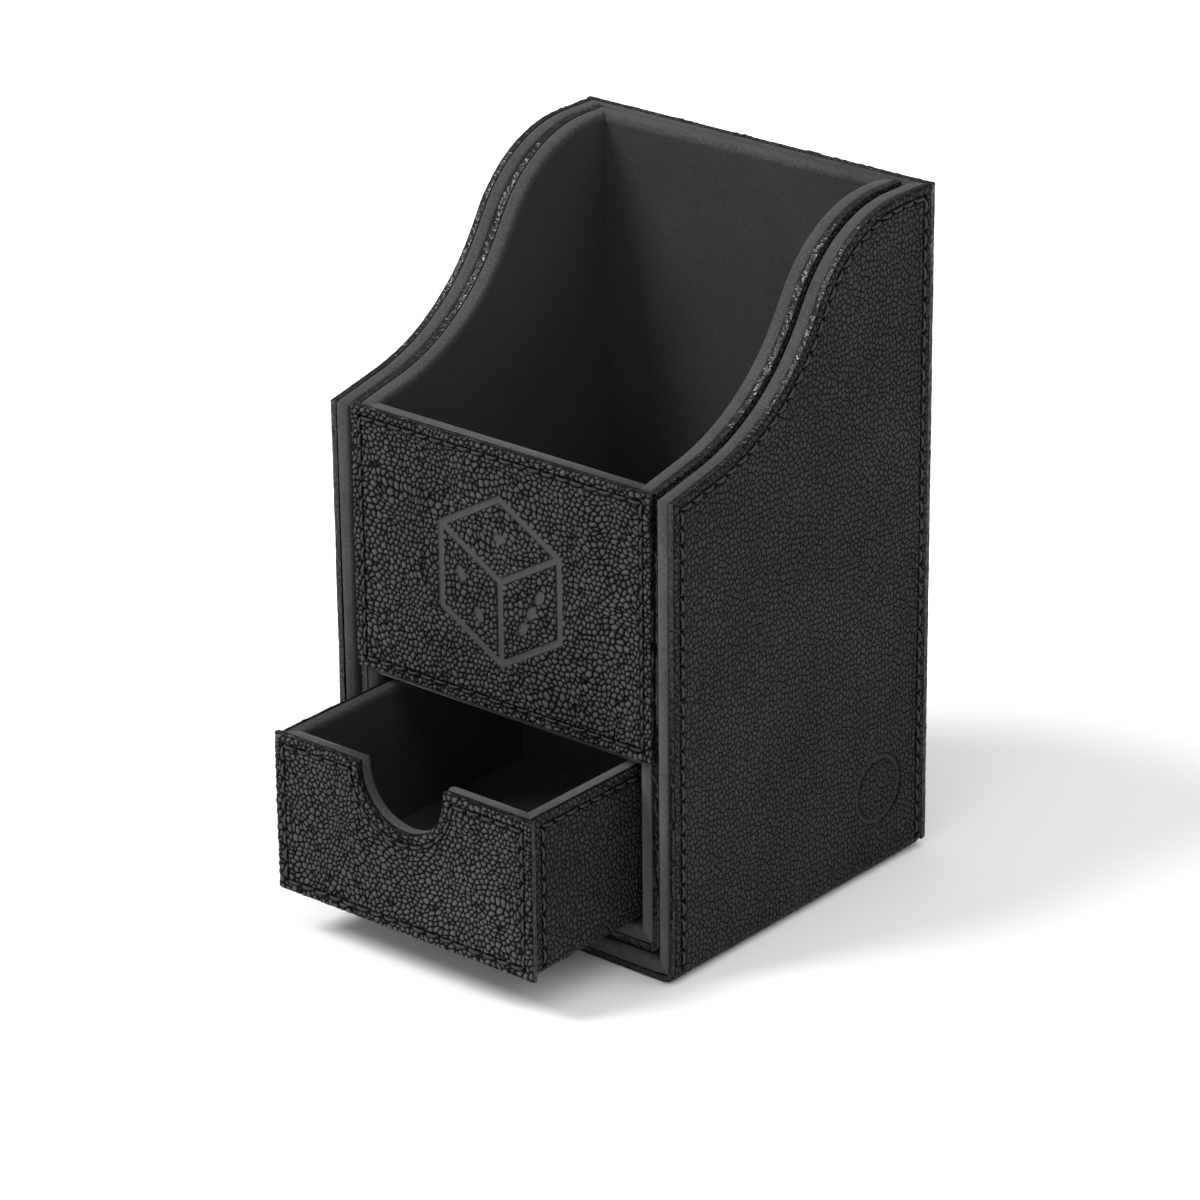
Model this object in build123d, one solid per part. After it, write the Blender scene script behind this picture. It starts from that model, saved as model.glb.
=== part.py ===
from build123d import *
import math
import os

# Deck box with a dice drawer: two nested shells of board, each covered in leather outside and
# suede inside, a front panel, a dividing shelf and a sliding drawer. Sizes are in millimetres.
# X runs to the right seen from the front, Y to the back and Z up. The origin is the centre of the
# outer shell's footprint on the surface it stands on.

os.makedirs("parts", exist_ok=True)

# Overall size of the outer shell
width = 91.4
depth = 84.6
height = 150.0

# Sheet materials
leather = 1.6
inner_leather = 2.0
drawer_leather = 1.2
board = 2.4
drawer_board = 2.0
suede = 0.8

# Swept top edge of the side walls: a flat back end, a shoulder, a steep run and a low front end
front_drop = 43.8
shoulder_from_back = 28.2
foot_from_front = 33.3
foot_above_front = 6.9
shoulder_radius = 31.0
foot_radius = 48.0

# Outer shell
corner_radius = 3.8
back_cover_lift = 2.0

# Inner shell
shell_gap = 0.3
inner_corner_radius = 3.0
rim_rise = 0.4
inner_setback = 1.2

# Front panel and shelf
panel_side_reveal = 0.9
panel_overhang = 2.1

# Drawer
drawer_height = 35.4
drawer_pull = 31.5
side_clearance = 0.8
under_clearance = 0.2
top_clearance = 0.9
back_clearance = 0.5
cover_lip = 0.3
drawer_corner_radius = 2.0
notch_radius = 11.5
notch_depth = 12.8

# Stitching
stitch_pitch = 3.7
stitch_length = 2.7
stitch_width = 0.7
stitch_height = 0.3
stitch_inset = 2.3
back_stitch_inset = 3.4
drawer_seam_inset = 4.2

# Pressed marks: a plain ring on the right wall and a die on the front panel
ring_radius = 7.6
ring_groove = 0.8
ring_from_back = 16.9
ring_height = 19.5
press_depth = 0.4
die_radius = 19.0
die_groove = 1.6
pip_radius = 1.9
pip_squash = 0.58
pip_spacing = 4.6

# Outer shell, worked out from the sizes above
front_y = -depth / 2
back_y = depth / 2
back_leather_y = back_y - leather
back_board_y = back_leather_y - board
back_suede_y = back_board_y - suede
outer_board_x = width / 2 - leather
outer_suede_x = outer_board_x - board
outer_inside_x = outer_suede_x - suede
outer_base_z = leather
outer_floor_z = outer_base_z + board
outer_inside_z = outer_floor_z + suede
front_height = height - front_drop

# Inner shell: it stands on the outer floor and against the outer back
inner_x = outer_inside_x - shell_gap
inner_board_x = inner_x - inner_leather
inner_suede_x = inner_board_x - board
bay_x = inner_suede_x - suede
inner_front_y = front_y + inner_setback
inner_back_board_y = back_suede_y - board
bay_back_y = inner_back_board_y - suede
inner_base_z = outer_inside_z + inner_leather
inner_floor_z = inner_base_z + board
bay_floor_z = inner_floor_z + suede

# Drawer
drawer_x = bay_x - side_clearance
drawer_z = bay_floor_z + under_clearance
drawer_top_z = drawer_z + drawer_height
panel_face_y = inner_front_y - leather
drawer_front_y = panel_face_y - drawer_pull
drawer_back_y = bay_back_y - back_clearance - drawer_pull
drawer_body_x = drawer_x - cover_lip
drawer_body_z = drawer_z + cover_lip
drawer_board_x = drawer_body_x - drawer_leather
drawer_suede_x = drawer_board_x - drawer_board
tray_x = drawer_suede_x - suede
drawer_bottom_z = drawer_body_z + drawer_leather
drawer_floor_z = drawer_bottom_z + drawer_board
tray_z = drawer_floor_z + suede
drawer_board_y = drawer_front_y + leather
drawer_suede_y = drawer_board_y + drawer_board
tray_front_y = drawer_suede_y + suede
drawer_back_leather_y = drawer_back_y - drawer_leather
drawer_back_board_y = drawer_back_leather_y - drawer_board
tray_back_y = drawer_back_board_y - suede
notch_z = drawer_top_z - notch_depth + notch_radius

# Shelf and front panel
shelf_z = drawer_top_z + top_clearance
shelf_board_z = shelf_z + suede
shelf_top_z = shelf_board_z + board
deck_floor_z = shelf_top_z + suede
panel_board_back_y = inner_front_y + board
panel_inside_y = panel_board_back_y + suede
panel_x = inner_x - panel_side_reveal
panel_low_z = deck_floor_z - panel_overhang


def block(x0, x1, y0, y1, z0, z1):
    """A box between two corners."""
    return Pos(x0, y0, z0) * Box(x1 - x0, y1 - y0, z1 - z0, align=Align.MIN)


def both_sides(piece):
    """The left piece and the right piece, from the right one."""
    return mirror(piece, about=Plane.YZ), piece


def save(name, shape):
    """Write one node."""
    export_step(shape, f"parts/{name}.step")


def rim_corners(inset):
    """The sharp shoulder and foot of the side wall's top edge, moved inwards by inset."""
    shoulder = Vector(back_y - shoulder_from_back, height)
    foot = Vector(front_y + foot_from_front, front_height + foot_above_front)
    front = Vector(front_y, front_height)
    runs = [Vector(1, 0), (shoulder - foot).normalized(), (foot - front).normalized()]
    normals = [Vector(run.Y, -run.X) for run in runs]
    moved = []
    for corner, n0, n1 in ((shoulder, normals[0], normals[1]), (foot, normals[1], normals[2])):
        moved.append(corner + (n0 + n1) * (inset / (1 + n0.dot(n1))))
    return moved[0], moved[1], runs


def rim_radii():
    """Shoulder and foot radii, limited by the straight run between the two corners."""
    shoulder, foot, runs = rim_corners(0)
    turns = [math.radians(runs[i].get_angle(runs[i + 1])) / 2 for i in range(2)]
    needed = shoulder_radius * math.tan(turns[0]) + foot_radius * math.tan(turns[1])
    share = min(1.0, 0.95 * (shoulder - foot).length / needed)
    return shoulder_radius * share, foot_radius * share


def rim_height(y, inset):
    """Height of the low front end of the rim at y."""
    _, foot, runs = rim_corners(inset)
    return foot.Y + (y - foot.X) * runs[2].Y / runs[2].X


def rim_line(inset, y_front, y_back):
    """The side wall's top edge from back to front, moved inwards by inset."""
    shoulder, foot, _ = rim_corners(inset)
    radius_shoulder, radius_foot = rim_radii()
    points = [(y_back, shoulder.Y), (shoulder.X, shoulder.Y), (foot.X, foot.Y)]
    points.append((y_front, rim_height(y_front, inset)))
    return FilletPolyline(*points, radius=[radius_shoulder - inset, radius_foot + inset])


def side_sheet(x0, x1, inset, y_front, y_back, z_low):
    """A flat sheet with the swept top edge, between two X planes."""
    rim = rim_line(inset, y_front, y_back)
    closing = Polyline(rim @ 1, (y_front, z_low), (y_back, z_low), rim @ 0)
    face = make_face([*rim.edges(), *closing.edges()])
    return extrude(Plane.YZ.offset(x0) * face, amount=x1 - x0)


def sleeve(half_x, z_low, radius, y_front, y_back, z_high):
    """A solid block with two rounded bottom corners along Y."""
    solid = block(-half_x, half_x, y_front, y_back, z_low, z_high)
    if radius > 0:
        corners = solid.edges().filter_by(Axis.Y).group_by(Axis.Z)[0]
        solid = fillet(corners, radius)
    return solid


def wrap(half_x, z_low, thickness, radius, y_front, y_back, z_high):
    """One leather sheet folded round the left side, the base and the right side."""
    outside = sleeve(half_x, z_low, radius, y_front, y_back, z_high)
    inside_radius = max(radius - thickness, 0)
    inside = sleeve(half_x - thickness, z_low + thickness, inside_radius, y_front, y_back, z_high)
    return outside - inside


def stitches(path, plane):
    """A row of stitches along a path drawn on a plane."""
    count = max(2, round(path.length / stitch_pitch))
    row = []
    for i in range(count):
        at = (i + 0.5) / count
        point = path.position_at(at)
        along = path.tangent_at(at)
        turn = math.degrees(math.atan2(along.Y, along.X))
        row.append(Pos(point.X, point.Y) * Rot(0, 0, turn) * Rectangle(stitch_length, stitch_width))
    return [extrude(plane * stitch, amount=stitch_height) for stitch in row]


def frame_rows(x0, x1, z0, z1, plane):
    """Four rows of stitches round a rectangle."""
    corners = [(x0, z0), (x1, z0), (x1, z1), (x0, z1), (x0, z0)]
    rows = []
    for start, end in zip(corners, corners[1:]):
        rows += stitches(Line(start, end), plane)
    return rows


def shell(prefix, half_x, z_low, thickness, radius, inset, y_front, y_back):
    """One shell, open at the front: boards and linings of four walls. Returns its leather wrap."""
    board_x = half_x - thickness
    suede_x = board_x - board
    inside_x = suede_x - suede
    base_z = z_low + thickness
    floor_z = base_z + board
    y_board = y_back - board
    y_inside = y_board - suede
    top_z = height - inset
    rim_z = top_z - suede
    inside_radius = max(radius - thickness, 0)
    room = sleeve(board_x, base_z, inside_radius, y_front, y_back, 2 * height)

    side_board = side_sheet(suede_x, board_x, inset + suede, y_front + suede, y_board, base_z) & room
    base_board = block(-suede_x, suede_x, y_front + suede, y_board, base_z, floor_z)
    back_board = block(-board_x, board_x, y_board, y_back, base_z, rim_z) & room

    side_lining = side_sheet(inside_x, board_x, inset, y_front, y_board, base_z) & room
    side_lining -= block(0, suede_x, y_front, y_board, base_z, floor_z)
    side_lining -= side_sheet(suede_x, board_x, inset + suede, y_front + suede, y_board, base_z)
    base_lining = block(-inside_x, inside_x, y_front, y_board, floor_z, floor_z + suede)
    base_lining += block(-suede_x, suede_x, y_front, y_front + suede, base_z, floor_z)
    back_lining = block(-inside_x, inside_x, y_inside, y_board, floor_z + suede, top_z)
    back_lining += block(-board_x, board_x, y_board, y_back, rim_z, top_z)

    for side, piece in zip(("left", "right"), both_sides(side_board)):
        save(f"{prefix}_{side}_board", piece)
    for side, piece in zip(("left", "right"), both_sides(side_lining)):
        save(f"{prefix}_{side}_lining", piece)
    save(f"{prefix}_base_board", base_board)
    save(f"{prefix}_base_lining", base_lining)
    save(f"{prefix}_back_board", back_board)
    save(f"{prefix}_back_lining", back_lining)

    folded = wrap(half_x, z_low, thickness, radius, y_front, y_back, 2 * height)
    return folded & side_sheet(-half_x, half_x, inset, y_front, y_back, z_low)


def outer_shell():
    """The outer shell with its back cover, its stitching and the pressed ring."""
    folded = shell("outer", width / 2, 0, leather, corner_radius, 0, front_y, back_leather_y)
    ring_centre = Pos(width / 2, back_y - ring_from_back, ring_height) * Rot(0, 90, 0)
    ring = Circle(ring_radius) - Circle(ring_radius - ring_groove)
    folded -= extrude(ring_centre * ring, amount=-press_depth)
    save("outer_leather_wrap", folded)
    save("outer_back_cover", block(-width / 2, width / 2, back_leather_y, back_y,
                                   back_cover_lift, height))

    low_z = corner_radius
    seam_front_y = front_y + stitch_inset
    seam_back_y = back_y - back_stitch_inset
    rim = rim_line(stitch_inset, seam_front_y, seam_back_y)
    plane = Plane.YZ.offset(width / 2)
    rows = stitches(rim, plane)
    rows += stitches(Line((seam_front_y, low_z), rim @ 1), plane)
    rows += stitches(Line((seam_back_y, low_z), rim @ 0), plane)
    for side, piece in zip(("left", "right"), both_sides(Compound(children=rows))):
        save(f"outer_{side}_stitching", piece)

    back_plane = Plane.XZ.offset(-back_y - stitch_height)
    save("outer_back_stitching", Compound(children=frame_rows(
        -width / 2 + stitch_inset, width / 2 - stitch_inset,
        back_cover_lift + stitch_inset, height - stitch_inset, back_plane)))


def inner_shell():
    """The inner shell and the shelf that parts the decks from the drawer."""
    save("inner_leather_wrap", shell("inner", inner_x, outer_inside_z, inner_leather,
                                     inner_corner_radius, -rim_rise, inner_front_y, back_suede_y))

    save("shelf_board", block(-bay_x, bay_x, inner_front_y + suede, bay_back_y,
                              shelf_board_z, shelf_top_z))
    under = block(-bay_x, bay_x, inner_front_y, bay_back_y, shelf_z, shelf_board_z)
    under += block(-bay_x, bay_x, inner_front_y, inner_front_y + suede, shelf_board_z, shelf_top_z)
    save("shelf_bottom_lining", under)
    save("shelf_top_lining", block(-bay_x, bay_x, panel_inside_y, bay_back_y,
                                   shelf_top_z, deck_floor_z))


def die_mark():
    """A cube seen corner on from above: its outline, three edges and the pips of three faces."""
    outline = RegularPolygon(die_radius, 6, rotation=30)
    outline -= RegularPolygon(die_radius - die_groove, 6, rotation=30)
    for turn in (30, 150, 270):
        spoke = Pos((die_radius - die_groove) / 2, 0) * Rectangle(die_radius - die_groove, die_groove)
        outline += Rot(0, 0, turn) * spoke
    for turn, places in ((90, (0,)), (210, (-1, 1)), (330, (-1, 0, 1))):
        for place in places:
            pip = Rot(0, 0, 90) * Ellipse(pip_radius, pip_radius * pip_squash)
            outline += Rot(0, 0, turn) * Pos(die_radius / 2, place * pip_spacing) * pip
    return outline


def front_panel():
    """The panel that closes the front of the card compartment."""
    top_z = rim_height(inner_front_y, -rim_rise)
    save("front_panel_board", block(-bay_x, bay_x, inner_front_y, panel_board_back_y,
                                    shelf_top_z, top_z - suede))
    lining = block(-bay_x, bay_x, panel_board_back_y, panel_inside_y, shelf_top_z, top_z)
    lining += block(-bay_x, bay_x, inner_front_y, panel_board_back_y, top_z - suede, top_z)
    save("front_panel_lining", lining)

    cover = block(-panel_x, panel_x, panel_face_y, inner_front_y, panel_low_z, top_z)
    middle_z = (panel_low_z + top_z) / 2
    face = Plane.XZ.offset(-panel_face_y)
    cover -= extrude(face * Pos(0, middle_z) * die_mark(), amount=-press_depth)
    save("front_panel_cover", cover)
    save("front_panel_stitching", Compound(children=frame_rows(
        -panel_x + stitch_inset, panel_x - stitch_inset,
        panel_low_z + stitch_inset, top_z - stitch_inset, face)))


def notch(inset, y0, y1):
    """The finger notch in the drawer's front wall, made larger by inset."""
    radius = notch_radius + inset
    cut = extrude(Plane.XZ.offset(-y1) * Pos(0, notch_z) * Circle(radius), amount=y1 - y0)
    return cut + block(-radius, radius, y0, y1, notch_z, drawer_top_z + notch_radius)


def notch_path(inset):
    """The line of stitches over the drawer's front, dipping under the finger notch."""
    radius = notch_radius + inset
    top_z = drawer_top_z - inset
    rise = top_z - notch_z
    half = math.sqrt(radius ** 2 - rise ** 2) if rise < 0 else radius
    edge = drawer_x - inset
    arc = ThreePointArc((-half, min(top_z, notch_z)), (0, notch_z - radius),
                        (half, min(top_z, notch_z)))
    return [Line((-edge, top_z), (-half, top_z)), arc, Line((half, top_z), (edge, top_z))]


def drawer():
    """The drawer, pulled part of the way out."""
    y0, y1 = drawer_board_y, drawer_back_leather_y
    room = sleeve(drawer_board_x, drawer_bottom_z, max(drawer_corner_radius - drawer_leather, 0),
                  y0, y1, drawer_top_z)
    rim_z = drawer_top_z - suede
    side_board = block(drawer_suede_x, drawer_board_x, drawer_suede_y, drawer_back_board_y,
                       drawer_bottom_z, rim_z) & room
    side_lining = block(tray_x, drawer_suede_x, drawer_suede_y, drawer_back_board_y,
                        drawer_floor_z, drawer_top_z)
    side_lining += block(drawer_suede_x, drawer_board_x, drawer_suede_y, drawer_back_board_y,
                         rim_z, drawer_top_z)
    for side, piece in zip(("left", "right"), both_sides(side_board)):
        save(f"drawer_{side}_board", piece)
    for side, piece in zip(("left", "right"), both_sides(side_lining)):
        save(f"drawer_{side}_lining", piece)

    save("drawer_bottom_board", block(-drawer_suede_x, drawer_suede_x, drawer_suede_y,
                                      drawer_back_board_y, drawer_bottom_z, drawer_floor_z))
    save("drawer_floor_lining", block(-tray_x, tray_x, tray_front_y, tray_back_y,
                                      drawer_floor_z, tray_z))

    back_board = block(-drawer_board_x, drawer_board_x, drawer_back_board_y,
                       drawer_back_leather_y, drawer_bottom_z, rim_z) & room
    back_lining = block(-tray_x, tray_x, tray_back_y, drawer_back_board_y,
                        drawer_floor_z, drawer_top_z)
    back_lining += block(-drawer_board_x, drawer_board_x, drawer_back_board_y,
                         drawer_back_leather_y, rim_z, drawer_top_z)
    save("drawer_back_board", back_board)
    save("drawer_back_lining", back_lining)

    front_board = block(-drawer_board_x, drawer_board_x, drawer_board_y, drawer_suede_y,
                        drawer_bottom_z, rim_z) & room
    front_board -= notch(suede, drawer_board_y, drawer_suede_y)
    front_lining = block(-tray_x, tray_x, drawer_suede_y, tray_front_y,
                         drawer_floor_z, drawer_top_z)
    front_lining += block(-drawer_board_x, drawer_board_x, drawer_board_y, drawer_suede_y,
                          notch_z - notch_radius - suede, drawer_top_z)
    front_lining -= front_board
    front_lining -= notch(0, drawer_board_y, tray_front_y)
    save("drawer_front_board", front_board)
    save("drawer_front_lining", front_lining)

    cover = block(-drawer_x, drawer_x, drawer_front_y, drawer_board_y, drawer_z, drawer_top_z)
    save("drawer_front_cover", cover - notch(0, drawer_front_y, drawer_board_y))
    save("drawer_back_cover", block(-drawer_body_x, drawer_body_x, drawer_back_leather_y,
                                    drawer_back_y, drawer_body_z, drawer_top_z))
    save("drawer_leather_wrap", wrap(drawer_body_x, drawer_body_z, drawer_leather,
                                     drawer_corner_radius, drawer_board_y,
                                     drawer_back_leather_y, drawer_top_z))

    face = Plane.XZ.offset(-drawer_front_y)
    edge = drawer_x - stitch_inset
    low_z = drawer_z + stitch_inset
    high_z = drawer_top_z - stitch_inset
    rows = []
    for path in notch_path(stitch_inset):
        rows += stitches(path, face)
    rows += stitches(Line((-edge, low_z), (edge, low_z)), face)
    for x in (-edge, edge):
        rows += stitches(Line((x, low_z), (x, high_z)), face)
    save("drawer_front_stitching", Compound(children=rows))

    plane = Plane.YZ.offset(drawer_body_x)
    seam_front_y = drawer_front_y + drawer_seam_inset
    seam_back_y = drawer_back_y - drawer_seam_inset
    seam_low_z = drawer_body_z + drawer_corner_radius
    rows = stitches(Line((seam_front_y, high_z), (seam_back_y, high_z)), plane)
    for y in (seam_front_y, seam_back_y):
        rows += stitches(Line((y, seam_low_z), (y, high_z)), plane)
    for side, piece in zip(("left", "right"), both_sides(Compound(children=rows))):
        save(f"drawer_{side}_stitching", piece)


outer_shell()
inner_shell()
front_panel()
drawer()
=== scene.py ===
import math
import bpy
import numpy as np
from mathutils import Matrix, Vector


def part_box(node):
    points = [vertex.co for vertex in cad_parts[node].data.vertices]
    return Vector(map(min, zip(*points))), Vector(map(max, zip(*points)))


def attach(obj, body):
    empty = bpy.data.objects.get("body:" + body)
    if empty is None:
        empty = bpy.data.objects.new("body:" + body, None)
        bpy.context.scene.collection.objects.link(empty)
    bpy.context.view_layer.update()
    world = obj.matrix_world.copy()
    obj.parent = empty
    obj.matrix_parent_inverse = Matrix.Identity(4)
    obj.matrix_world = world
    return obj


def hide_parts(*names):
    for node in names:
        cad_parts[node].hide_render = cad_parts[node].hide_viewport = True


# Looks of a leather deck box with a sliding dice drawer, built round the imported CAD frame.
# Shapes are worked out in millimetres and written to Blender in metres.

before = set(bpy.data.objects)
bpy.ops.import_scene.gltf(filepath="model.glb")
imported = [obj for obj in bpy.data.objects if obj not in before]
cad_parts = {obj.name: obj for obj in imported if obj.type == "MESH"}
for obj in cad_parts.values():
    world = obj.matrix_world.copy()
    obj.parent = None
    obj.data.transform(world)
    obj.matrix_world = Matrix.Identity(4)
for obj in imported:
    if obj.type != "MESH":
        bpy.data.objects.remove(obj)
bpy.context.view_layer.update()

MM = 0.001
rng = np.random.default_rng(12)
TABLE = rng.random((256, 256, 4))


# ---- places, from the CAD frame
def corners(node):
    """Lowest and highest corner of a CAD node, in millimetres."""
    low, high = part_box(node)
    return np.array(low) / MM, np.array(high) / MM


outer_low, outer_high = corners("outer_leather_wrap")
back_low, back_high = corners("outer_back_cover")
_, outer_board_high = corners("outer_right_board")
inner_low, inner_high = corners("inner_leather_wrap")
_, inner_board_high = corners("inner_right_board")
outer_lining_low, _ = corners("outer_right_lining")
inner_lining_low, _ = corners("inner_right_lining")
outer_back_low, outer_back_high = corners("outer_back_lining")
inner_back_low, inner_back_high = corners("inner_back_lining")
panel_low, panel_high = corners("front_panel_cover")
panel_lining_low, panel_lining_high = corners("front_panel_lining")
shelf_low, shelf_high = corners("shelf_bottom_lining")
deck_low, deck_high = corners("shelf_top_lining")
_, inner_base_high = corners("inner_base_lining")
_, outer_base_high = corners("outer_base_lining")
cover_low, cover_high = corners("drawer_front_cover")
tail_low, tail_high = corners("drawer_back_cover")
drawer_low, drawer_high = corners("drawer_leather_wrap")
tray_side_low, tray_side_high = corners("drawer_right_lining")
tray_front_low, tray_front_high = corners("drawer_front_lining")
tray_back_low, tray_back_high = corners("drawer_back_lining")
tray_floor_low, tray_floor_high = corners("drawer_floor_lining")

HEIGHT = outer_high[2]
FRONT_Y = outer_low[1]
BACK_Y = back_high[1]

# Swept top edge of the side walls, rounded corners and finger notch, as in the CAD source
FRONT_DROP = 43.8
SHOULDER_FROM_BACK = 28.2
FOOT_FROM_FRONT = 33.3
FOOT_ABOVE_FRONT = 6.9
FRONT_HEIGHT = HEIGHT - FRONT_DROP
SHOULDER = np.array([BACK_Y - SHOULDER_FROM_BACK, HEIGHT])
FOOT = np.array([FRONT_Y + FOOT_FROM_FRONT, FRONT_HEIGHT + FOOT_ABOVE_FRONT])
SHOULDER_RADIUS = 31.0
FOOT_RADIUS = 48.0
OUTER_CORNER = 3.8
INNER_CORNER = 3.0
DRAWER_CORNER = 2.0
NOTCH_RADIUS = 11.5
NOTCH_DEPTH = 12.8
NOTCH_Z = cover_high[2] - NOTCH_DEPTH + NOTCH_RADIUS
SUEDE = 0.8

# Pressed marks, by their centre lines: a plain ring on the right wall and a die on the panel
RING_CENTRE = np.array([BACK_Y - 16.9, 19.5])
RING_RADIUS = 7.2
RING_HALF_WIDTH, RING_SOFT = 0.6, 0.2
DIE_RADIUS = 18.2
DIE_HALF_WIDTH, DIE_SOFT = 0.8, 0.14
FACE_CENTRE = 9.5
PIP_SPACING = 4.6
PIP_RADIUS, PIP_SQUASH = 1.9, 0.58

# Stitching, as in the CAD source
PITCH = 3.7
STITCH = 2.7
INSET = 2.3
BACK_INSET = 3.4
DRAWER_INSET = 4.2

# Pebble grain: relief in millimetres and the size of a cell, on the fronts and on the sides
FRONT_GRAIN = {"rough": 0.5, "cells": (1.3, 1.24)}
SIDE_GRAIN = {"rough": 0.12, "cells": (2.1, 2.4)}


# ---- small maths
def unit(v):
    return v / np.linalg.norm(v)


def smooth(t):
    t = np.clip(t, 0, 1)
    return t * t * (3 - 2 * t)


def noise(p, q, size, layer=0):
    """Smooth random values from -1 to 1, one lattice point every size millimetres."""
    u, v = p / size + 17.3 * layer, q / size + 9.1 * layer
    i, j = np.floor(u).astype(int), np.floor(v).astype(int)
    a, b = smooth(u - i), smooth(v - j)
    t = TABLE[..., layer % 4]
    low = t[i % 256, j % 256] * (1 - a) + t[(i + 1) % 256, j % 256] * a
    high = t[i % 256, (j + 1) % 256] * (1 - a) + t[(i + 1) % 256, (j + 1) % 256] * a
    return 2 * (low * (1 - b) + high * b) - 1


# How far the rows of pebbles wander and over what length, how far each cell strays from its place
# in shares of a cell, how much larger some are, and how wide the creases run
SMALL_BEND, LARGE_BEND = (0.9, 6.0), (1.6, 17.0)
STRAY_P, STRAY_Q, SPREAD = 0.8, 0.74, 0.16
CREASE = 0.66


def pebbles(p, q, cell_p, cell_q):
    """Pebble grain: 1 on the crown of each cell and 0 in the creases, with a random height a cell.
    Tall cells stand in staggered columns, the others in staggered rows."""
    if cell_q > 1.1 * cell_p:
        p, q, cell_p, cell_q = q, p, cell_q, cell_p
    (small, small_size), (large, large_size) = SMALL_BEND, LARGE_BEND
    wp = p + small * noise(p, q, small_size, 1) + large * noise(p, q, large_size, 2)
    wq = q + small * noise(p, q, small_size, 3) + large * noise(p, q, large_size, 0)
    u, v = wp / cell_p, wq / cell_q
    row = np.floor(v).astype(int)
    first = np.full(u.shape, 9.0)
    second = np.full(u.shape, 9.0)
    crown = np.zeros(u.shape)
    for dj in (-1, 0, 1):
        j = row + dj
        shift = 0.5 * (j % 2)
        column = np.floor(u - shift).astype(int)
        for di in (-1, 0, 1):
            i = column + di
            r = TABLE[i % 256, j % 256]
            x = i + shift + 0.5 + STRAY_P * (r[:, 0] - 0.5)
            y = j + 0.5 + STRAY_Q * (r[:, 1] - 0.5)
            d = np.hypot(u - x, v - y) - SPREAD * r[:, 2]
            nearer = d < first
            second = np.where(nearer, first, np.minimum(second, d))
            crown = np.where(nearer, r[:, 3], crown)
            first = np.where(nearer, d, first)
    gap = np.clip((second - first) / CREASE, 0, 1)
    dome = 1 - (1 - gap) ** 1.6
    return dome * (0.72 + 0.28 * crown)


def nearest(points, line):
    """Distance from each point to a polyline, and how far along it the nearest place is."""
    best = np.full(len(points), 1e9)
    along = np.zeros(len(points))
    start = 0.0
    for a, b in zip(line[:-1], line[1:]):
        run = b - a
        length = math.hypot(*run)
        t = np.clip(((points - a) @ run) / length ** 2, 0, 1)
        away = points - a - t[:, None] * run
        d = np.hypot(away[:, 0], away[:, 1])
        closer = d < best
        best = np.where(closer, d, best)
        along = np.where(closer, start + t * length, along)
        start += length
    return best, along


def line_length(line):
    return float(np.sum(np.hypot(*np.diff(line, axis=0).T)))


def distances(line):
    """How far along a polyline each of its points is."""
    return np.concatenate([[0], np.cumsum(np.hypot(*np.diff(line, axis=0).T))])


def points_at(line, where):
    """The points of a polyline that far along it."""
    at = distances(line)
    return np.column_stack([np.interp(where, at, line[:, k]) for k in (0, 1)])


def resample(line, count):
    """count points at even distances along a polyline."""
    return points_at(line, np.linspace(0, distances(line)[-1], count))


# ---- swept top edge
def rim_line(inset, y_front, y_back, step=0.5):
    """The side wall's top edge from front to back as (y, z) points, moved inwards by inset."""
    front = np.array([FRONT_Y, FRONT_HEIGHT])
    runs = [np.array([1.0, 0.0]), unit(SHOULDER - FOOT), unit(FOOT - front)]
    normals = [np.array([r[1], -r[0]]) for r in runs]
    found = []
    for corner, n0, n1 in ((SHOULDER, normals[0], normals[1]), (FOOT, normals[1], normals[2])):
        found.append(corner + (n0 + n1) * (inset / (1 + n0 @ n1)))
    shoulder, foot = found
    low = foot[1] + (y_front - foot[0]) * runs[2][1] / runs[2][0]
    points = [np.array([y_front, low])]
    turns = ((foot, runs[2], runs[1], FOOT_RADIUS + inset, 1),
             (shoulder, runs[1], runs[0], SHOULDER_RADIUS - inset, -1))
    for corner, before, after, radius, side in turns:
        half = math.acos(np.clip(before @ after, -1, 1)) / 2
        start = corner - before * radius * math.tan(half)
        centre = start + side * radius * np.array([-before[1], before[0]])
        first = math.atan2(*(start - centre)[::-1])
        for k in range(33):
            angle = first + side * 2 * half * k / 32
            points.append(centre + radius * np.array([math.cos(angle), math.sin(angle)]))
    points.append(np.array([y_back, shoulder[1]]))
    line = np.array(points)
    return resample(line, max(2, int(line_length(line) / step)))


def rim_height(y, inset):
    """Height of the swept edge over each y."""
    line = rim_line(inset, FRONT_Y - 5, BACK_Y + 5, 0.4)
    return np.interp(y, line[:, 0], line[:, 1])


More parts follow.
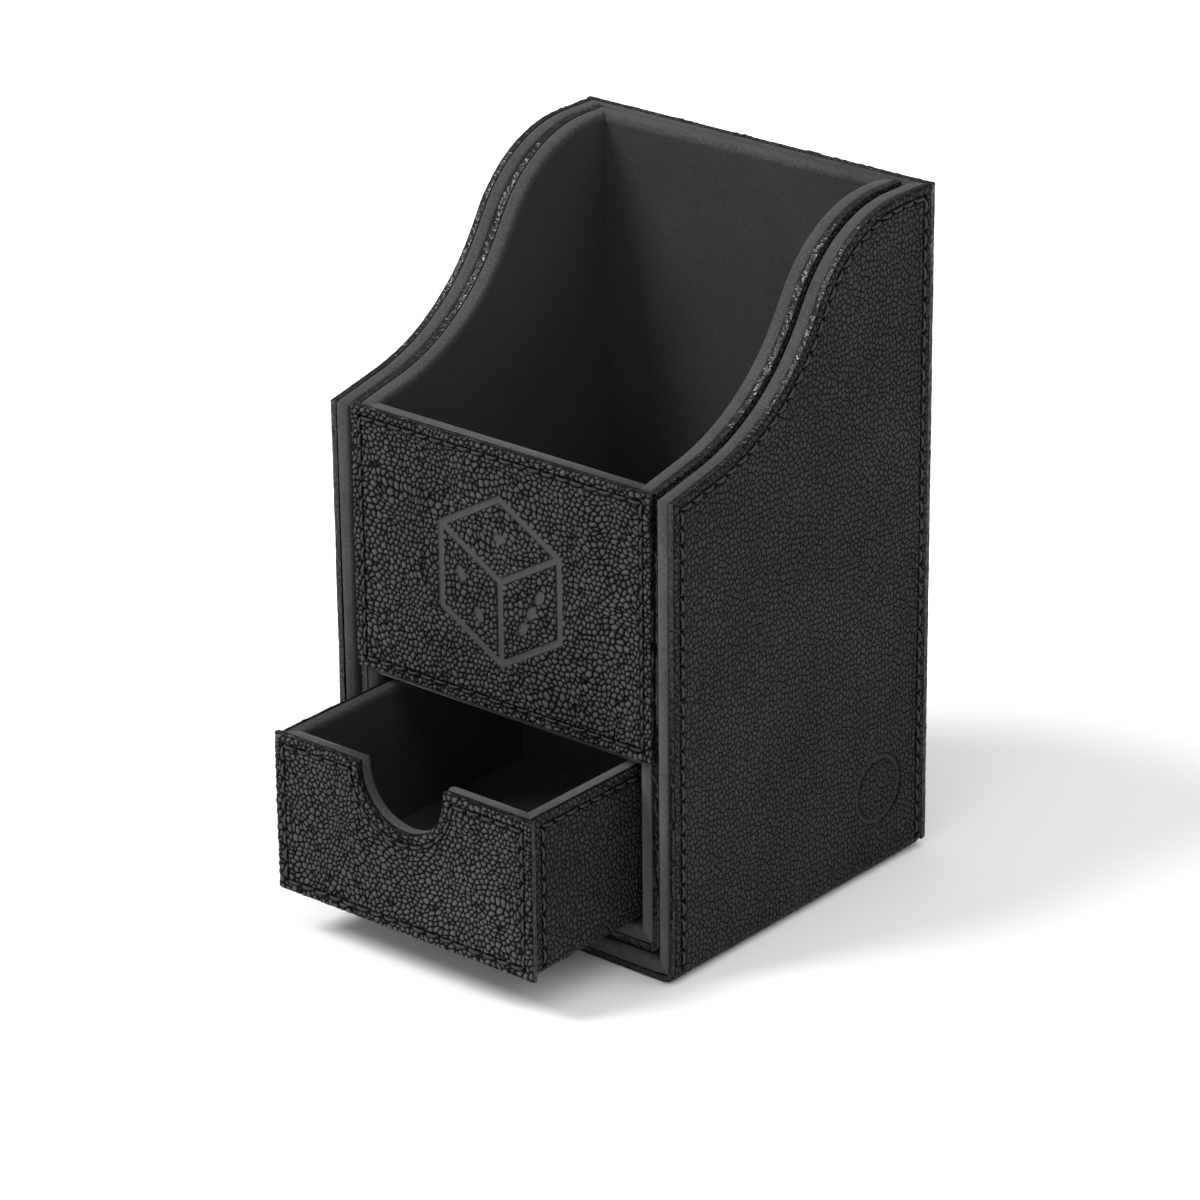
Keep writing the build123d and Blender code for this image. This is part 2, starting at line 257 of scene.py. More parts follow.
# ---- meshes
def make_object(name, points, quads, polygons, flat, layers=None, grain=None):
    """A mesh from points in millimetres, an array of quads and a list of larger faces.
    flat is the count of the last faces that keep a flat shade; layers are values a point."""
    mesh = bpy.data.meshes.new(name)
    loops = np.concatenate([quads.ravel()] + [np.array(f) for f in polygons]).astype(np.int32)
    sizes = np.concatenate([np.full(len(quads), 4), [len(f) for f in polygons]]).astype(np.int32)
    starts = np.concatenate([[0], np.cumsum(sizes)[:-1]]).astype(np.int32)
    mesh.vertices.add(len(points))
    mesh.vertices.foreach_set("co", (points * MM).astype(np.float32).ravel())
    mesh.loops.add(len(loops))
    mesh.loops.foreach_set("vertex_index", loops)
    mesh.polygons.add(len(sizes))
    mesh.polygons.foreach_set("loop_start", starts)
    shade = np.ones(len(sizes), bool)
    if flat:
        shade[-flat:] = False
    mesh.polygons.foreach_set("use_smooth", shade)
    mesh.update(calc_edges=True)
    for key, values in (layers or {}).items():
        mesh.attributes.new(key, "FLOAT", "POINT").data.foreach_set(
            "value", values.astype(np.float32))
    if grain is not None:
        uv = mesh.uv_layers.new(name="grain")
        uv.data.foreach_set("uv", (grain[loops]).astype(np.float32).ravel())
    mesh.validate()
    obj = bpy.data.objects.new(name, mesh)
    bpy.context.scene.collection.objects.link(obj)
    return obj


def turned_out(points, quads, polygons):
    """The faces turned so that the closed mesh encloses a positive volume."""
    volume = 0.0
    for corner in (1, 2):
        a, b, c = (points[quads[:, k]] for k in (0, corner, corner + 1))
        volume += np.sum(np.einsum("ij,ij->i", a, np.cross(b, c)))
    for f in polygons:
        ring = points[np.array(f)]
        volume += np.sum(ring[0] @ np.cross(ring[1:-1], ring[2:]).T)
    if volume < 0:
        quads = quads[:, ::-1]
        polygons = [f[::-1] for f in polygons]
    return quads, polygons


def finish_piece(obj, body, nodes, slot, *materials):
    for material in materials:
        obj.data.materials.append(material)
    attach(obj, body)
    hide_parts(*nodes)


def thread_piece(name, seams, place, body, node):
    finish_piece(stitch_object(name, seams, place), body, [node], "thread", thread)


def suede_piece(make, prefix, body, node, *shape, **looks):
    finish_piece(make(f"{prefix}_suede", *shape, **looks), body, [f"{node}_lining"], "suede",
                 suede)


def cover(prefix, columns, outline, seams, place, thickness, face, body, node, **looks):
    """A flat leather cover, and the thread along its seams."""
    sheet = sheet_object(f"{prefix}_leather", columns, outline, seams, place, thickness, **looks)
    finish_piece(sheet, body, [f"{node}_cover"], "leather", face, leather_edge)
    if seams:
        thread_piece(f"{prefix}_thread", seams, place, body, f"{node}_stitching")


def folded_sheet(prefix, wrap, half_x, low_z, corner, thickness, wall_seams, body, **looks):
    """A leather sheet folded round a shell, and the thread along the (y, z) seams of its walls."""
    columns, split, ys, tops = wrap
    half_flat = half_x - corner
    place = wrap_place(half_x, low_z, corner)
    seams = {side: [wall_seam(s, low_z, half_flat, corner, sign) for s in wall_seams]
             for side, sign in (("right", 1), ("left", -1))}
    sheet = sheet_object(f"{prefix}_leather", columns, wrap_outline(ys, tops, half_flat, corner),
                         seams["right"] + seams["left"], place, thickness, split, **looks)
    finish_piece(sheet, body, [f"{prefix}_leather_wrap"], "leather", leather_side_shaded, leather_edge)
    for side, lines in seams.items():
        if lines:
            thread_piece(f"{prefix}_{side}_thread", lines, place, body,
                         f"{prefix}_{side}_stitching")


# ---- leather sheets
# Distances of the grid lines nearest a sheet's border, the sizes of its relief, how far the grain
# keeps from a seam, and the lengths of the waves on its raw edge
EDGE_ROWS = np.array([0.0, 0.12, 0.26, 0.45, 0.75])
GROOVE_DEPTH, GROOVE_WIDTH = 0.42, 0.56
HOLE_DEPTH, HOLE_WIDTH = 0.22, 0.32
PUFF_HEIGHT, PUFF_WIDTH, PUFF_FROM_SEAM = 0.13, 0.62, 1.35
PRESS_DEPTH = 0.42
FLAT_GRAIN = 0.62
SEAM_CLEAR, SEAM_FADE = 0.4, 0.5
SHORT_WAVE, LONG_WAVE = 0.8, 2.3


def even_rows(stops, steps):
    """Places from the first stop to the last, at about that step between each two stops."""
    rows = [np.array([stops[0]])]
    for a, b, step in zip(stops[:-1], stops[1:], steps):
        rows.append(np.linspace(a, b, max(1, int(round((b - a) / step))) + 1)[1:])
    return np.concatenate(rows)


def rows_along(length, step, dense_low=True, dense_high=True, stops=(), fine=None):
    """Places along one grid line of that length, closer together near its free ends and
    between each two of the stops."""
    low = EDGE_ROWS if dense_low else np.array([0.0])
    high = EDGE_ROWS if dense_high else np.array([0.0])
    places = [low[-1], *stops, length - high[-1]]
    sizes = [step] * (len(places) - 1)
    for k in range(1, len(sizes), 2):
        sizes[k] = fine
    middle = even_rows(places, sizes)
    return np.concatenate([low[:-1], middle, (length - high[:-1])[::-1]])


def edge_drop(distance, radius):
    """How far a rounded edge falls below the face, that far from the outline."""
    reach = np.clip(radius - distance, 0, radius)
    return radius - np.sqrt(radius ** 2 - reach ** 2)


def seam_relief(points, seams):
    """The groove that a row of stitches pulls into the leather, and the puffed strip beside it."""
    height = np.zeros(len(points))
    for line in seams:
        length = line_length(line)
        count = max(2, round(length / PITCH))
        distance, along = nearest(points, line)
        phase = along / length * count
        hole = np.cos(np.pi * phase) ** 8
        groove = np.exp(-(distance / GROOVE_WIDTH) ** 2)
        height -= groove * GROOVE_DEPTH * (0.62 + 0.38 * hole)
        height -= HOLE_DEPTH * hole * np.exp(-(distance / HOLE_WIDTH) ** 2)
        puff = np.exp(-((distance - PUFF_FROM_SEAM) / PUFF_WIDTH) ** 2)
        height += puff * PUFF_HEIGHT * (0.75 - 0.25 * np.cos(2 * np.pi * phase))
    return height


def segment_mask(points, segments, half_width, soft):
    """1 on pressed lines and 0 off them, with a soft shoulder."""
    mask = np.zeros(len(points))
    for line in segments:
        distance, _ = nearest(points, line)
        mask = np.maximum(mask, smooth((half_width + soft - distance) / (2 * soft)))
    return mask


def sheet_surface(flat_points, outline, seams, rough, cells, pressed, press_shade,
                  edge_radius):
    """Height over the flat face, and the values that the material reads, for each point."""
    p, q = flat_points.T
    distance, _ = nearest(flat_points, outline)
    grain = pebbles(p, q, *cells)
    near_seam = np.ones(len(p))
    for line in seams:
        d, _ = nearest(flat_points, line)
        near_seam = np.minimum(near_seam, smooth((d - SEAM_CLEAR) / SEAM_FADE))
    height = rough * (grain - FLAT_GRAIN) * (0.35 + 0.65 * near_seam)
    height *= 0.55 + 0.45 * smooth(distance / 0.3)
    height += seam_relief(flat_points, seams)
    height += 0.07 * noise(p, q, 9.0, 2) + 0.05 * noise(p, q, 3.4, 1)
    mask = np.zeros(len(p))
    if pressed is not None:
        mask = pressed(flat_points)
        height = height * (1 - mask) - PRESS_DEPTH * mask
        height += 0.012 * noise(p, q, 0.9, 3) * mask
    height -= edge_drop(distance, edge_radius)
    # The material darkens low pebble values and high seam values: painted shade in the creases of
    # the grain, in the stitch grooves and, through press_shade, on the walls of the pressed marks.
    values = {
        "pebble": grain * (1 - mask) + 0.7 * mask,
        "press": mask,
        "rim": 1 - smooth(distance / 0.34),
        "seam": np.maximum(1 - near_seam, 4 * mask * (1 - mask) * press_shade),
    }
    return height, values


def sheet_edges(grid_loop, flat, thickness, edge_radius):
    """Layers of points under a sheet's border loop: raw edge, lower corner, back face. Each is
    (depth, how far it stands out, how ragged it is)."""
    ring = flat[grid_loop]
    ahead, behind = np.roll(ring, -1, axis=0), np.roll(ring, 1, axis=0)
    run = ahead - behind
    out = np.column_stack([run[:, 1], -run[:, 0]])
    out /= np.maximum(np.hypot(*out.T), 1e-6)[:, None]
    steps = np.hypot(*(ahead - ring).T)
    along = np.concatenate([[0], np.cumsum(steps)[:-1]])
    layers = []
    depths = ((edge_radius + 0.18, 0.06, 0.16), (0.55 * thickness + 0.1, 0.08, 0.18),
              (thickness - 0.15, 0.03, 0.05), (thickness, 0.0, 0.0))
    for k, (depth, bulge, ragged) in enumerate(depths):
        wave = noise(along, np.full(len(along), 3.1 * k), SHORT_WAVE, k % 4)
        wave += 0.8 * noise(along, np.full(len(along), 5.3 * k), LONG_WAVE, (k + 1) % 4)
        layers.append((ring + out * (bulge + ragged * wave)[:, None],
                       np.full(len(ring), -depth)))
    return layers


def sheet_object(name, columns, outline, seams, place, thickness, split=None, rough=0.16,
                 cells=(1.2, 1.2), pressed=None, press_shade=0.0, edge_radius=0.35,
                 relief=True):
    """A leather sheet from grid columns of flat points. The face carries the grain and the seams,
    its border turns over a raw edge, and the back is closed. split is the row range of a wrap's
    folded part; without it the back is one flat face."""
    n, m = len(columns), len(columns[0])
    flat = np.concatenate(columns)
    if relief:
        height, values = sheet_surface(flat, outline, seams, rough, cells, pressed,
                                       press_shade, edge_radius)
    else:
        distance, _ = nearest(flat, outline)
        height = -edge_drop(distance, edge_radius)
        zero = np.zeros(len(flat))
        values = {"pebble": zero + 0.6, "press": zero, "rim": 1 - smooth(distance / 0.6),
                  "seam": zero}
    index = np.arange(n * m).reshape(n, m)
    quads = [np.stack([index[:-1, :-1], index[1:, :-1], index[1:, 1:], index[:-1, 1:]],
                      axis=-1).reshape(-1, 4)]
    loop = np.concatenate([index[:, 0], index[-1, 1:], index[-2::-1, -1], index[0, -2:0:-1]])
    points = [place(flat[:, 0], flat[:, 1], height)]
    grain = [flat]
    total = len(flat)
    above = loop
    count = len(loop)
    for ring, depth in sheet_edges(loop, flat, thickness, edge_radius):
        points.append(place(ring[:, 0], ring[:, 1], depth))
        grain.append(ring)
        below = total + np.arange(count)
        quads.append(np.stack([np.roll(above, -1), above, below, np.roll(below, -1)], axis=-1))
        above = below
        total += count
    edge_count = total - len(flat)
    fills = {"pebble": 0.5, "press": 0.0, "rim": 1.0, "seam": 0.0}
    values = {k: np.concatenate([v, np.full(edge_count, fills[k])]) for k, v in values.items()}
    if split is None:
        polygons = [list(above[::-1])]
    else:
        first, last = split
        bottom = above[:n]
        right = above[n - 1:n + m - 1]
        top = above[n + m - 2:2 * n + m - 2]
        left = np.concatenate([[above[0]], above[2 * n + m - 3:][::-1]])
        polygons = [list(np.concatenate([bottom, right[1:first + 1], left[first:0:-1]])[::-1])]
        for j in range(first, last):
            polygons.append([left[j + 1], right[j + 1], right[j], left[j]])
        polygons.append(list(np.concatenate(
            [[left[last]], right[last:], top[1:], left[-2:last:-1]])[::-1]))
    points = np.concatenate(points)
    quads, polygons = turned_out(points, np.concatenate(quads), polygons)
    sheet = make_object(name, points, quads, polygons, len(polygons), values,
                        np.concatenate(grain))
    slots = np.ones(len(sheet.data.polygons), np.int32)
    slots[:(n - 1) * (m - 1)] = 0
    sheet.data.polygons.foreach_set("material_index", slots)
    return sheet


def ruled_columns(bottom, top, step):
    """Grid columns between two paths, closer together near both."""
    columns, slope = [], []
    for k in range(len(top)):
        a, b = top[max(k - 1, 0)], top[min(k + 1, len(top) - 1)]
        run = unit(b - a)
        across = unit(top[k] - bottom[k])
        slope.append(max(0.35, abs(run[0] * across[1] - run[1] * across[0])))
    longest = max(math.hypot(*(t - b)) for b, t in zip(bottom, top))
    base = rows_along(longest, step)
    share = (base[4:-4] - base[4]) / (base[-5] - base[4])
    for b, t, s in zip(bottom, top, slope):
        length = math.hypot(*(t - b))
        high = EDGE_ROWS / s
        low = EDGE_ROWS
        middle = low[-1] + share * (length - high[-1] - low[-1])
        rows = np.concatenate([low[:-1], middle, (length - high[:-1])[::-1]])
        columns.append(b + np.outer(rows / length, t - b))
    return columns


def wrap_columns(wall_top, half_flat, corner, y_low, y_high, step, rise, ys_stops=(), stops=(),
                 fine=0.3, base_step=4.0):
    """Grid columns of a sheet folded round a base: flat points are (y, s), s running from the
    left rim under the base to the right rim. wall_top(y) is the height of the rim over the
    straight part's foot, step the spacing in y and rise the spacing up the wall."""
    ys = y_low + rows_along(y_high - y_low, step, stops=ys_stops, fine=fine)
    arc = corner * math.pi / 2
    base = np.linspace(0, half_flat, max(2, int(half_flat / base_step)) + 1)
    turn = half_flat + arc * np.linspace(0, 1, 7)[1:]
    tops = wall_top(ys)
    slope = np.gradient(tops, ys)
    lengthen = np.minimum(np.sqrt(1 + slope ** 2), 2.4)
    foot = even_rows([0.0, *stops], ([rise, fine] * 2)[:len(stops)])
    band = 4.5
    count = int((tops.max() - foot[-1] - band) / rise)
    columns = []
    for y, top, s in zip(ys, tops, lengthen):
        high = EDGE_ROWS * s
        middle = np.linspace(foot[-1], top - band, count)[1:]
        near_rim = np.linspace(top - band, top - high[-1], int(band / fine))[1:]
        wall = np.concatenate([foot, middle, near_rim, (top - high[:-1])[::-1]])
        half = np.concatenate([base, turn, half_flat + arc + wall[1:]])
        whole = np.concatenate([-half[:0:-1], half])
        columns.append(np.column_stack([np.full(len(whole), y), whole]))
    wall_rows = len(wall) - 1
    rows = len(columns[0])
    return columns, (wall_rows, rows - 1 - wall_rows), ys, tops


def wrap_place(half_x, low_z, corner):
    """Where the flat point (y, s) of a folded sheet lies."""
    half_flat = half_x - corner
    arc = corner * math.pi / 2

    def place(y, s, h):
        side = np.sign(s)
        a = np.abs(s)
        turn = np.clip((a - half_flat) / max(corner, 1e-9), 0, math.pi / 2)
        rise = np.maximum(a - half_flat - arc, 0)
        x = np.minimum(a, half_flat) + (corner + h) * np.sin(turn)
        z = low_z + corner - (corner + h) * np.cos(turn) + rise
        return np.column_stack([side * x, y, z])

    return place


def wrap_outline(ys, tops, half_flat, corner):
    """Closed outline of a folded sheet in flat (y, s) points."""
    s = half_flat + corner * math.pi / 2 + tops
    right = np.column_stack([ys, s])
    left = np.column_stack([ys, -s])
    return np.concatenate([left, right[::-1], left[:1]])


def wall_seam(line, low_z, half_flat, corner, side):
    """A seam drawn in (y, z) on the outer wall as flat (y, s) points."""
    s = half_flat + corner * math.pi / 2 + line[:, 1] - low_z - corner
    return np.column_stack([line[:, 0], side * s])


# ---- stitches
def stitch_object(name, seams, place, radius=0.36, lift=0.1, sink=0.5):
    """A row of thread loops along each seam: every loop rises from one needle hole, lies over
    the leather and goes down the next."""
    rings, sides = 9, 8
    points, quads, polygons, twist = [], [], [], []
    total = 0
    for line in seams:
        length = line_length(line)
        count = max(2, round(length / PITCH))
        for k in range(count):
            middle = (k + 0.5) / count * length
            half = min(STITCH, length / count * 0.78) / 2 + 0.25
            t = np.linspace(-1, 1, rings)
            lean = 0.1 * math.sin(7.7 * k + len(line))
            where = np.clip(middle + half * t, 0, length)
            p, q = points_at(line, where).T
            ahead = points_at(line, np.clip(where + 0.05, 0, length))
            run = ahead - points_at(line, np.clip(where - 0.05, 0, length))
            run /= np.hypot(*run.T)[:, None]
            across = np.column_stack([run[:, 1], -run[:, 0]])
            height = lift - (lift + sink) * np.abs(t) ** 3.2
            thick = radius * (1 - 0.28 * np.abs(t) ** 3)
            for r in range(rings):
                angle = np.linspace(0, 2 * math.pi, sides, endpoint=False)
                off = thick[r] * np.cos(angle) + lean * t[r]
                up = 0.82 * thick[r] * np.sin(angle) + height[r]
                points.append(place(p[r] + off * across[r, 0], q[r] + off * across[r, 1], up))
                twist.append(np.column_stack([np.full(sides, where[r]), angle]))
            index = total + np.arange(rings * sides).reshape(rings, sides)
            nxt = np.roll(index, -1, axis=1)
            quads.append(np.stack([index[:-1], nxt[:-1], nxt[1:], index[1:]],
                                  axis=-1).reshape(-1, 4))
            polygons.append(list(index[0][::-1]))
            polygons.append(list(index[-1]))
            total += rings * sides
    points, quads = np.concatenate(points), np.concatenate(quads)
    quads, polygons = turned_out(points, quads, polygons)
    return make_object(name, points, quads, polygons, 0, None, np.concatenate(twist))


# ---- suede linings
def offset_line(line, distance):
    """An open polyline moved to its left, its corners kept sharp."""
    runs = np.diff(line, axis=0)
    runs /= np.hypot(*runs.T)[:, None]
    normals = np.column_stack([-runs[:, 1], runs[:, 0]])
    before = np.concatenate([normals[:1], normals])
    after = np.concatenate([normals, normals[-1:]])
    scale = 1 + np.sum(before * after, axis=1)
    return line + (before + after) * (distance / scale)[:, None]


def suede_object(name, path, closing, place, width, inner_radius=1.0, outer_radius=0.5,
                 mitre=(0.0, 0.0), fix=None):
    """A lining of one wall: a soft band over the wall's free edge and the sheet down its inside.
    path is the free edge in the wall's plane with the wall on its left, closing the other
    corners, and width the band's. mitre is how far each end of the band runs on at its outer
    side, in shares of the width."""
    profile = [(SUEDE, 0.0), (outer_radius, 0.0)]
    for k in range(1, 5):
        a = math.pi / 2 * k / 4
        profile.append((outer_radius * (1 - math.sin(a)), outer_radius * (1 - math.cos(a))))
    crown = 0.12
    for k in range(1, 4):
        t = k / 4
        profile.append((-crown * math.sin(math.pi * t),
                        outer_radius + (width - outer_radius - inner_radius) * t))
    for k in range(0, 7):
        a = math.pi / 2 * k / 6
        profile.append((inner_radius * (1 - math.cos(a)),
                        width - inner_radius * (1 - math.sin(a))))
    profile.append((inner_radius + 0.9, width))
    profile.append((inner_radius + 0.9, width - SUEDE))
    start, end = unit(path[0] - path[1]), unit(path[-1] - path[-2])
    n = len(path)
    rows = []
    for d, w in profile:
        row = offset_line(path, d)
        row[0] += start * mitre[0] * (width - w)
        row[-1] += end * mitre[1] * (width - w)
        rows.append(place(row[:, 0], row[:, 1], np.full(n, w)))
    face, rear = (place(closing[:, 0], closing[:, 1], np.full(len(closing), w))
                  for w in (width, width - SUEDE))
    count = len(rows)
    index = np.arange(count * n).reshape(count, n)
    quads = np.stack([index[:-2, :-1], index[:-2, 1:], index[1:-1, 1:], index[1:-1, :-1]],
                     axis=-1).reshape(-1, 4)
    under = np.stack([index[-1, :-1], index[-1, 1:], index[0, 1:], index[0, :-1]], axis=-1)
    c = len(closing)
    front_ring = list(index[-2]) + [count * n + k for k in range(c)]
    rear_ring = list(index[-1]) + [count * n + c + k for k in range(c)]
    polygons = [front_ring, rear_ring[::-1]]
    for k in range(n - 1, len(front_ring)):
        after = (k + 1) % len(front_ring)
        polygons.append([front_ring[after], front_ring[k], rear_ring[k], rear_ring[after]])
    polygons.append([int(v) for v in index[:, 0]])
    polygons.append([int(v) for v in index[::-1, -1]])
    points = np.concatenate(rows + [face, rear])
    if fix is not None:
        points = fix(points)
    quads, polygons = turned_out(points, np.concatenate([quads, under]), polygons)
    # edge is 1 on the turned band and 0 on the sheet down the wall, which the suede material
    # paints darker as painted shade.
    edge = np.concatenate([np.full(n, 1.0)] * (count - 2) + [np.zeros(2 * (n + c))])
    return make_object(name, points, quads, polygons, len(polygons), {"edge": edge})


def slab_object(name, low, high, radius=0.3):
    """A thin sheet of suede lying flat, its upper edges rounded."""
    rows = [(0.0, low[2])]
    for k in range(5):
        a = math.pi / 2 * k / 4
        rows.append((radius * (1 - math.cos(a)), high[2] - radius * (1 - math.sin(a))))
    points = []
    for inset, z in rows:
        x0, x1 = low[0] + inset, high[0] - inset
        y0, y1 = low[1] + inset, high[1] - inset
        points.append(np.array([[x0, y0, z], [x1, y0, z], [x1, y1, z], [x0, y1, z]]))
    index = np.arange(len(rows) * 4).reshape(-1, 4)
    nxt = np.roll(index, -1, axis=1)
    quads = np.stack([index[:-1], nxt[:-1], nxt[1:], index[1:]], axis=-1).reshape(-1, 4)
    polygons = [[int(v) for v in index[-1]], [int(v) for v in index[0][::-1]]]
    points = np.concatenate(points)
    quads, polygons = turned_out(points, quads, polygons)
    # edge falls from the rounded sides to 0 on the top face, which the suede material paints
    # darker as painted shade on the floor.
    edge = np.repeat([1.0, 1.0, 1.0, 0.6, 0.3, 0.0], 4)
    return make_object(name, points, quads, polygons, 2, {"edge": edge})


# ---- materials
class Look:
    """A material with a principled shader, and short ways to add nodes to it."""

    def __init__(self, name):
        self.material = bpy.data.materials.new(name)
        self.material.use_nodes = True
        self.nodes = self.material.node_tree.nodes
        self.join = self.material.node_tree.links.new
        self.shader = self.nodes["Principled BSDF"].inputs

    def add(self, kind, **settings):
        """A node with inputs or properties set by name."""
        node = self.nodes.new(kind)
        for key, value in settings.items():
            if key in node.inputs:
                node.inputs[key].default_value = value
            else:
                setattr(node, key, value)
        return node

    def fill(self, socket, value):
        """Sets a number on a socket, or joins an output to it."""
        if isinstance(value, (int, float)):
            socket.default_value = value
        else:
            self.join(value, socket)

    def value(self, key):
        """A value that the mesh stores for each point."""
        return self.add("ShaderNodeAttribute", attribute_name=key).outputs["Fac"]

    def flat(self):
        """The flat place of each point on its sheet, in millimetres."""
        return self.add("ShaderNodeUVMap", uv_map="grain").outputs["UV"]

    def noise(self, scale, detail, roughness=0.5, distortion=0.0):
        """Noise over the piece's own space, scale in cells a metre."""
        node = self.add("ShaderNodeTexNoise", Scale=scale, Detail=detail, Roughness=roughness,
                        Distortion=distortion)
        self.join(self.add("ShaderNodeTexCoord").outputs["Object"], node.inputs["Vector"])
        return node.outputs["Fac"]

    def ramp(self, source, low, high, out_low=0.0, out_high=1.0):
        """source from low..high turned to out_low..out_high."""
        node = self.add("ShaderNodeMapRange", clamp=True, interpolation_type="SMOOTHSTEP")
        for key, value in (("Value", source), ("From Min", low), ("From Max", high),
                           ("To Min", out_low), ("To Max", out_high)):
            self.fill(node.inputs[key], value)
        return node.outputs["Result"]

    def maths(self, kind, *values):
        node = self.add("ShaderNodeMath", operation=kind)
        for socket, value in zip(node.inputs, values):
            self.fill(socket, value)
        return node.outputs[0]

    def times(self, a, b):
        return self.maths("MULTIPLY", a, b)

    def paint(self, factor, dark, light):
        """The shader's base colour, from dark to light."""
        node = self.add("ShaderNodeMix", data_type="RGBA")
        for name, colour in (("A", dark), ("B", light)):
            socket = [s for s in node.inputs if s.name == name and s.type == "RGBA"][0]
            socket.default_value = (*colour, 1)
        self.join(factor, node.inputs["Factor"])
        self.join([s for s in node.outputs if s.type == "RGBA"][0], self.shader["Base Color"])

    def emboss(self, height, distance=MM, strength=1.0):
        """Relief from a height in units of that distance."""
        node = self.add("ShaderNodeBump", Strength=strength, Distance=distance)
        self.join(height, node.inputs["Height"])
        self.join(node.outputs["Normal"], self.shader["Normal"])

    def finish(self, **inputs):
        """The shader's other inputs, underscores for the spaces in their names."""
        for key, value in inputs.items():
            self.fill(self.shader[key.replace("_", " ")], value)
        return self.material


def leather_material(name, light, rough, gloss_level, cells=None, bump=0.0):
    """Black pebble-grained leather. cells is the size in millimetres of the grain that the
    material draws where the mesh's own pebbles are gentle, and bump its depth."""
    look = Look(name)
    pebble, press, rim, seam = (look.value(key) for key in ("pebble", "press", "rim", "seam"))
    patches = look.noise(38.0, 4.0, 0.6)
    height = look.times(look.noise(2600.0, 3.0, 0.6), 0.03)
    if cells is None:
        crown = look.ramp(pebble, 0.2, 0.88)
    else:
        flat = look.flat()
        bend = look.add("ShaderNodeTexNoise", Scale=0.16, Detail=2.0)
        look.join(flat, bend.inputs["Vector"])
        shift = look.add("ShaderNodeVectorMath", operation="MULTIPLY_ADD")
        look.join(bend.outputs["Color"], shift.inputs[0])
        shift.inputs[1].default_value = (1.6, 1.6, 0)
        look.join(flat, shift.inputs[2])
        squeeze = look.add("ShaderNodeMapping", Scale=(1 / cells[0], 1 / cells[1], 1))
        look.join(shift.outputs[0], squeeze.inputs["Vector"])
        voronoi = look.add("ShaderNodeTexVoronoi", voronoi_dimensions="2D",
                           feature="DISTANCE_TO_EDGE", Scale=1.0, Randomness=0.88)
        look.join(squeeze.outputs[0], voronoi.inputs["Vector"])
        from_crease = voronoi.outputs["Distance"]
        lift = look.times(look.ramp(from_crease, 0.0, 0.3), look.maths("SUBTRACT", 1.0, press))
        height = look.maths("ADD", height, look.times(lift, bump))
        crown = look.times(look.ramp(pebble, 0.0, 0.5, 0.8, 1.0),
                           look.ramp(from_crease, 0.0, 0.17))
        crown = look.maths("MAXIMUM", crown, look.times(press, 0.8))
    look.emboss(height)

    # Painted shade: the tone falls to near black in the creases of the grain (crown), in the
    # stitch grooves and on the walls of the pressed marks (seam), where the relief hides the
    # light.
    tone = look.times(crown, look.ramp(patches, 0.3, 0.72, 0.72, 1.0))
    tone = look.maths("MAXIMUM", tone, look.times(press, 0.7))
    tone = look.times(tone, look.ramp(seam, 0.0, 0.9, 1.0, 0.04))
    tone = look.times(tone, look.ramp(rim, 0.5, 1.0, 1.0, 0.12))
    look.paint(tone, (0.0003, 0.0003, 0.0004), light)

    gloss = look.ramp(patches, 0.25, 0.75, rough + 0.05, rough - 0.05)
    gloss = look.maths("ADD", gloss, look.ramp(crown, 0.0, 1.0, 0.35, 0.0))
    gloss = look.maths("SUBTRACT", gloss, look.times(rim, 0.1))
    gloss = look.maths("SUBTRACT", gloss, look.times(press, 0.08))
    return look.finish(Roughness=gloss, Specular_IOR_Level=gloss_level)


def suede_material():
    """Short-napped black suede: no gloss, a soft sheen, brushed patches and fine fibres, and
    painted shade that makes it darker away from the turned edge."""
    look = Look("suede")
    nap = look.noise(55.0, 5.0, 0.62, 0.5)
    fibres = look.noise(2400.0, 4.0, 0.7)
    tufts = look.noise(700.0, 3.0, 0.6)
    tone = look.maths("ADD", look.ramp(nap, 0.3, 0.7, 0.2, 0.4),
                      look.ramp(fibres, 0.32, 0.68, 0.0, 0.6))
    # Painted shade: where edge is 0, down the inside of the walls and on the floors, the colour is
    # about a third as light as on the turned band.
    tone = look.times(tone, look.ramp(look.value("edge"), 0.0, 1.0, 0.35, 1.0))
    look.paint(tone, (0.016, 0.016, 0.0165), (0.062, 0.062, 0.064))
    look.emboss(look.maths("ADD", look.times(fibres, 0.10), look.times(tufts, 0.12)),
                strength=0.85)
    return look.finish(Roughness=look.ramp(nap, 0.3, 0.7, 0.98, 0.86), Specular_IOR_Level=0.12,
                       Sheen_Weight=0.12, Sheen_Roughness=0.45)


def edge_material():
    """The leather's cut edge, painted black and burnished: beads that glint."""
    look = Look("leather_edge")
    beads = look.noise(950.0, 1.0)
    # The colour is lighter on the beads and darker between them: painted shade in the hollows of
    # the edge.
    look.paint(look.ramp(beads, 0.4, 0.7), (0.0006, 0.0006, 0.0007), (0.010, 0.010, 0.0105))
    look.emboss(beads, 0.5 * MM)
    return look.finish(Roughness=look.ramp(beads, 0.35, 0.65, 0.5, 0.22), Specular_IOR_Level=0.35)


